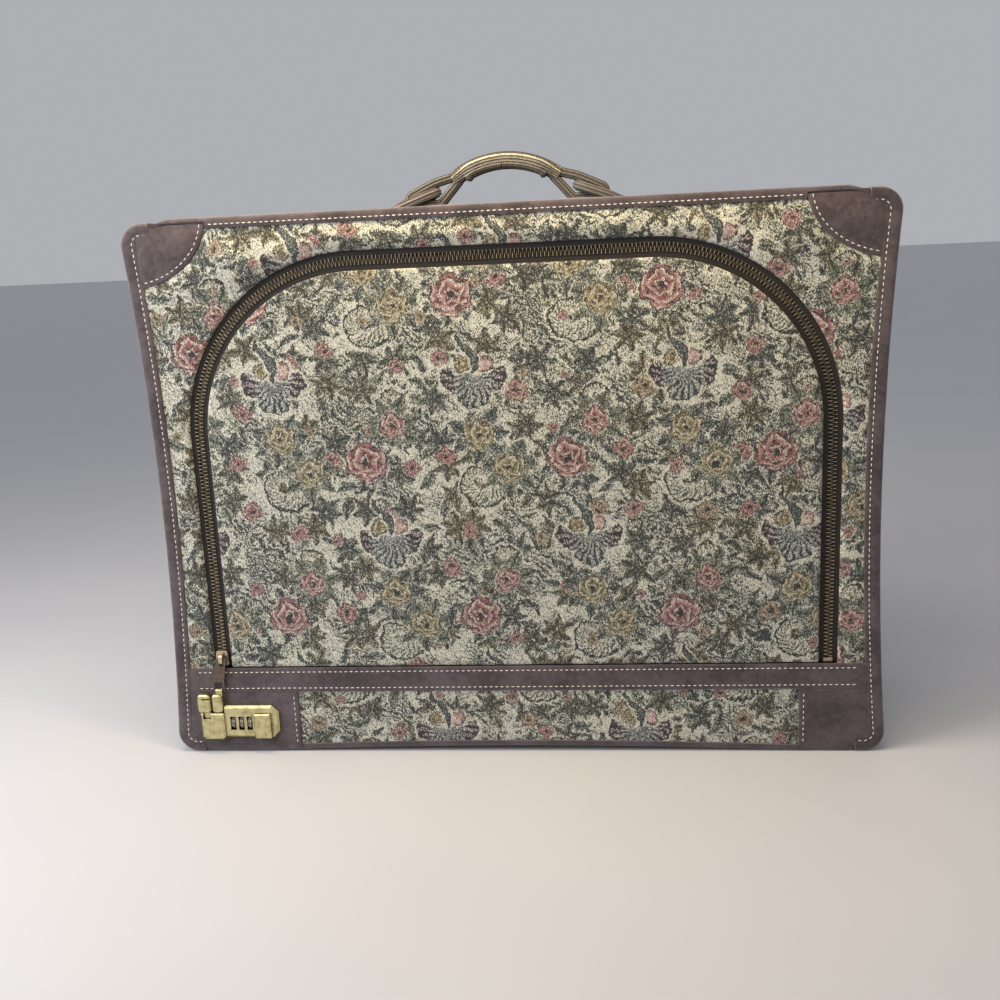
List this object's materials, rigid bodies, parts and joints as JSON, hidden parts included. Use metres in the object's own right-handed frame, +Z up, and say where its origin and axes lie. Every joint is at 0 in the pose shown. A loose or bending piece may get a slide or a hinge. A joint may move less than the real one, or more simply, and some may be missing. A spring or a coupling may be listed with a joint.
{
  "type": "suitcase",
  "caption": "Soft-sided suitcase with a horseshoe zip lid in its front, suede trim, floral tapestry sides, a combination lock and a link-ended top handle.",
  "frame": {"origin": "centre of the overall box at floor level, where the case stands on its bottom panel", "axes": "+X to the right along the width as seen from the front, +Y to the back, +Z up; the zip lid faces -Y"},
  "size_m": [0.6222, 0.2, 0.511],
  "materials": {
    "suede": "brushed suede",
    "tapestry": "woven tapestry",
    "board": "matt fibreboard",
    "lining": "plain woven",
    "zip_tape": "twill tape",
    "zip_brass": "antique",
    "lock_brass": "satin, worn",
    "dark_bronze": "dark antique",
    "steel": "plain",
    "dial": "knurled, marked with plain numbers",
    "handle_cover": "striped, ribbed"
  },
  "bodies": {
    "root": {"frame_hoop": "board", "left_side_cover": "tapestry", "right_side_cover": "tapestry", "top_panel": "suede", "bottom_panel": "suede", "front_border": "tapestry", "lower_front_panel": "tapestry", "front_board": "board", "hinge_band": "suede", "front_top_left_pad": "suede", "front_top_right_pad": "suede", "front_bottom_left_pad": "suede", "front_bottom_right_pad": "suede", "back_panel": "tapestry", "back_board": "board", "back_top_left_pad": "suede", "back_top_right_pad": "suede", "back_bottom_left_pad": "suede", "back_bottom_right_pad": "suede", "front_left_binding": "suede", "front_right_binding": "suede", "back_left_binding": "suede", "back_right_binding": "suede", "lining": "lining", "zip_tape_body": "zip_tape", "zip_teeth_body": "zip_brass", "zip_bottom_stop": "zip_brass", "zip_top_stops": "zip_brass", "latch_block": "lock_brass", "lock_plate": "lock_brass", "lock_backing_plate": "steel", "lock_screws": "steel", "dial_shaft": "steel", "handle_anchor_left": "handle_cover", "handle_anchor_right": "handle_cover"},
    "lid": {"lid_panel": "tapestry", "lid_board": "board", "lid_lining": "lining", "zip_tape_lid": "zip_tape", "zip_teeth_lid": "zip_brass"},
    "slider": {"zip_slider": "zip_brass"},
    "puller": {"zip_puller": "dark_bronze"},
    "clasp": {"clasp": "lock_brass"},
    "release_button": {"release_button": "lock_brass"},
    "dial_1": {"dial_1": "dial"},
    "dial_2": {"dial_2": "dial"},
    "dial_3": {"dial_3": "dial"},
    "handle": {"handle_grip": "handle_cover", "handle_underside_cover": "handle_cover"}
  },
  "joints": [
    {"name": "lid_hinge", "type": "hinge", "parent": "root", "child": "lid", "pos_m": [0, -0.0933, 0.0793], "axis": [1, 0, 0], "range_deg": [0, 102]},
    {"name": "slider_travel", "type": "slide", "parent": "root", "child": "slider", "axis": [0, 0, 1], "range_m": [0, 0.195], "deforming": ["zip_teeth_body", "zip_teeth_lid"]},
    {"name": "puller_hinge", "type": "hinge", "parent": "slider", "child": "puller", "pos_m": [-0.262, -0.0954, 0.089], "axis": [-1, 0, 0], "range_deg": [0, 130]},
    {"name": "clasp_hinge", "type": "hinge", "parent": "puller", "child": "clasp", "pos_m": [-0.2665, -0.0954, 0.05925], "axis": [-1, 0, 0], "range_deg": [0, 80]},
    {"name": "release_slide", "type": "slide", "parent": "root", "child": "release_button", "axis": [1, 0, 0], "range_m": [0, 0.003], "stiffness_N_per_m": 300, "springref_m": -0.001},
    {"name": "dial_1_spin", "type": "hinge", "parent": "root", "child": "dial_1", "pos_m": [-0.2561, -0.0917, 0.0288], "axis": [1, 0, 0], "continuous": true},
    {"name": "dial_2_spin", "type": "hinge", "parent": "root", "child": "dial_2", "pos_m": [-0.2486, -0.0917, 0.0288], "axis": [1, 0, 0], "continuous": true},
    {"name": "dial_3_spin", "type": "hinge", "parent": "root", "child": "dial_3", "pos_m": [-0.2411, -0.0917, 0.0288], "axis": [1, 0, 0], "continuous": true},
    {"name": "handle_swing", "type": "hinge", "parent": "root", "child": "handle", "pos_m": [0, 0.0032, 0.474], "axis": [1, 0, 0], "range_deg": [-70, 70], "deforming": ["handle_anchor_left", "handle_anchor_right"]}
  ]
}
